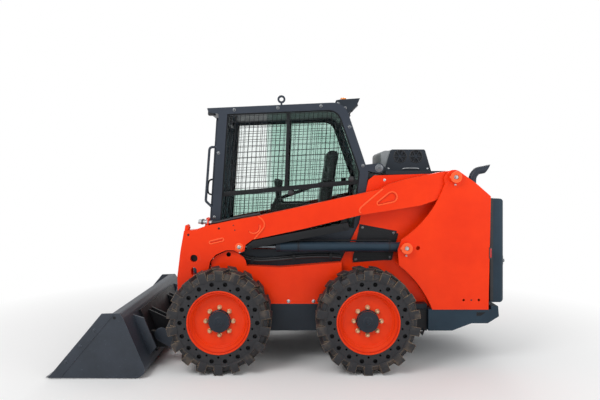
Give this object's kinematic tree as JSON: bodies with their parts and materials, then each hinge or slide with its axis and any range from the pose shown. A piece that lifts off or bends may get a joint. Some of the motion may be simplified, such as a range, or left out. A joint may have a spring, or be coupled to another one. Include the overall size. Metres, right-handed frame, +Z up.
{
  "type": "skid steer loader",
  "caption": "Compact wheeled loader with twin lift arms, a pivoting bucket, lugged solid tyres and a guarded tilting cab, for digging and carrying loose loads.",
  "frame": {"origin": "on the ground under the middle of the machine's box, between front lip and rear latch", "axes": "+X to the rear, the bucket at -X; the machine's left side at -Y; +Z up"},
  "size_m": [3.776, 1.88, 2.3067],
  "materials": {
    "body_paint": "gloss orange-red paint",
    "frame_paint": "satin dark slate paint",
    "black_steel": "matte black paint",
    "bucket_steel": "dark worn paint",
    "edge_steel": "worn bare steel",
    "rod_chrome": "polished chrome",
    "tyre": "black solid rubber",
    "glass": "green tinted safety glass",
    "seat": "black vinyl",
    "plastic": "black plastic",
    "lamp_red": "red lens",
    "engine": "painted casting",
    "exhaust": "heat dulled steel"
  },
  "bodies": {
    "chassis": {"lower_frame": "frame_paint", "side_panel_left": "body_paint", "side_panel_right": "body_paint", "tower_left": "body_paint", "tower_right": "body_paint", "axle_stubs": "black_steel", "engine": "engine", "hood": "frame_paint", "cooler_housing": "frame_paint", "exhaust_pipe": "exhaust", "rear_bumper": "frame_paint", "side_vents": "black_steel", "tail_lamps": "lamp_red"},
    "lift_arm": {"lift_arm_left": "body_paint", "lift_arm_right": "body_paint", "arm_cross_tube": "body_paint"},
    "bucket": {"bucket_shell": "bucket_steel", "cutting_edge": "edge_steel", "bucket_attach_plate": "black_steel"},
    "cab": {"cab_frame": "frame_paint", "cab_side_glass": "glass", "cab_rear_glass": "glass", "window_guard_left": "black_steel", "window_guard_right": "black_steel", "grab_handles": "frame_paint", "seat_mount": "plastic", "seat_cushion": "seat", "seat_backrest": "seat", "control_consoles": "plastic", "roof_lamps": "frame_paint"},
    "front_door": {"front_door": "frame_paint", "front_door_glass": "glass"},
    "rear_door": {"rear_door": "frame_paint", "rear_door_latch": "edge_steel"},
    "wheel_front_left": {"tyre_front_left": "tyre", "rim_front_left": "body_paint"},
    "wheel_front_right": {"tyre_front_right": "tyre", "rim_front_right": "body_paint"},
    "wheel_rear_left": {"tyre_rear_left": "tyre", "rim_rear_left": "body_paint"},
    "wheel_rear_right": {"tyre_rear_right": "tyre", "rim_rear_right": "body_paint"},
    "lift_barrel_left": {"lift_barrel_left": "frame_paint"},
    "lift_rod_left": {"lift_rod_left": "rod_chrome"},
    "tilt_barrel_left": {"tilt_barrel_left": "frame_paint"},
    "tilt_rod_left": {"tilt_rod_left": "rod_chrome"},
    "lift_barrel_right": {"lift_barrel_right": "frame_paint"},
    "lift_rod_right": {"lift_rod_right": "rod_chrome"},
    "tilt_barrel_right": {"tilt_barrel_right": "frame_paint"},
    "tilt_rod_right": {"tilt_rod_right": "rod_chrome"}
  },
  "joints": [
    {"name": "lift", "type": "hinge", "parent": "chassis", "child": "lift_arm", "pos_m": [1.425, 0, 1.583], "axis": [0, 1, 0], "range_deg": [0, 62]},
    {"name": "bucket_tilt", "type": "hinge", "parent": "lift_arm", "child": "bucket", "pos_m": [-0.94, 0, 0.19], "axis": [0, -1, 0], "range_deg": [-30, 100]},
    {"name": "cab_tilt", "type": "hinge", "parent": "chassis", "child": "cab", "pos_m": [0.805, 0, 1.665], "axis": [0, 1, 0], "range_deg": [0, 45]},
    {"name": "front_door_swing", "type": "hinge", "parent": "cab", "child": "front_door", "pos_m": [-0.70024, -0.372, 1.00208], "axis": [-0.0635, 0, -0.998], "range_deg": [-90, 0]},
    {"name": "rear_door_swing", "type": "hinge", "parent": "chassis", "child": "rear_door", "pos_m": [1.797, 0.572, 0.96], "axis": [0, 0, 1], "range_deg": [0, 95]},
    {"name": "wheel_front_left_spin", "type": "hinge", "parent": "chassis", "child": "wheel_front_left", "pos_m": [-0.536, -0.735, 0.419], "axis": [0, 1, 0], "continuous": true},
    {"name": "wheel_front_right_spin", "type": "hinge", "parent": "chassis", "child": "wheel_front_right", "pos_m": [-0.536, 0.735, 0.419], "axis": [0, 1, 0], "continuous": true},
    {"name": "wheel_rear_left_spin", "type": "hinge", "parent": "chassis", "child": "wheel_rear_left", "pos_m": [0.659, -0.735, 0.419], "axis": [0, 1, 0], "continuous": true},
    {"name": "wheel_rear_right_spin", "type": "hinge", "parent": "chassis", "child": "wheel_rear_right", "pos_m": [0.659, 0.735, 0.419], "axis": [0, 1, 0], "continuous": true},
    {"name": "lift_barrel_left_swing", "type": "hinge", "parent": "chassis", "child": "lift_barrel_left", "pos_m": [1.011, -0.52, 0.984], "axis": [0, 1, 0], "range_deg": [-0.5, 64.5]},
    {"name": "lift_rod_left_slide", "type": "slide", "parent": "lift_barrel_left", "child": "lift_rod_left", "axis": [-1, 0, 0.0028], "range_m": [-0.005, 0.754]},
    {"name": "tilt_barrel_left_swing", "type": "hinge", "parent": "lift_arm", "child": "tilt_barrel_left", "pos_m": [-0.86, -0.33, 0.96], "axis": [0, -1, 0], "range_deg": [-1.7, 4.5]},
    {"name": "tilt_rod_left_slide", "type": "slide", "parent": "tilt_barrel_left", "child": "tilt_rod_left", "axis": [-0.2441, 0, -0.9697], "range_m": [-0.062, 0.196]},
    {"name": "lift_barrel_right_swing", "type": "hinge", "parent": "chassis", "child": "lift_barrel_right", "pos_m": [1.011, 0.52, 0.984], "axis": [0, 1, 0], "range_deg": [-0.5, 64.5]},
    {"name": "lift_rod_right_slide", "type": "slide", "parent": "lift_barrel_right", "child": "lift_rod_right", "axis": [-1, 0, 0.0028], "range_m": [-0.005, 0.754]},
    {"name": "tilt_barrel_right_swing", "type": "hinge", "parent": "lift_arm", "child": "tilt_barrel_right", "pos_m": [-0.86, 0.33, 0.96], "axis": [0, -1, 0], "range_deg": [-1.7, 4.5]},
    {"name": "tilt_rod_right_slide", "type": "slide", "parent": "tilt_barrel_right", "child": "tilt_rod_right", "axis": [-0.2441, 0, -0.9697], "range_m": [-0.062, 0.196]}
  ],
  "couplings": [
    {"joint": "lift_barrel_left_swing", "follows": "lift", "ratio": 1.0195},
    {"joint": "lift_rod_left_slide", "follows": "lift", "m_per_rad": 0.6923},
    {"joint": "tilt_barrel_left_swing", "follows": "bucket_tilt", "ratio": 0.039976},
    {"joint": "tilt_rod_left_slide", "follows": "bucket_tilt", "m_per_rad": 0.10969},
    {"joint": "lift_barrel_right_swing", "follows": "lift", "ratio": 1.0195},
    {"joint": "lift_rod_right_slide", "follows": "lift", "m_per_rad": 0.6923},
    {"joint": "tilt_barrel_right_swing", "follows": "bucket_tilt", "ratio": 0.039976},
    {"joint": "tilt_rod_right_slide", "follows": "bucket_tilt", "m_per_rad": 0.10969}
  ]
}
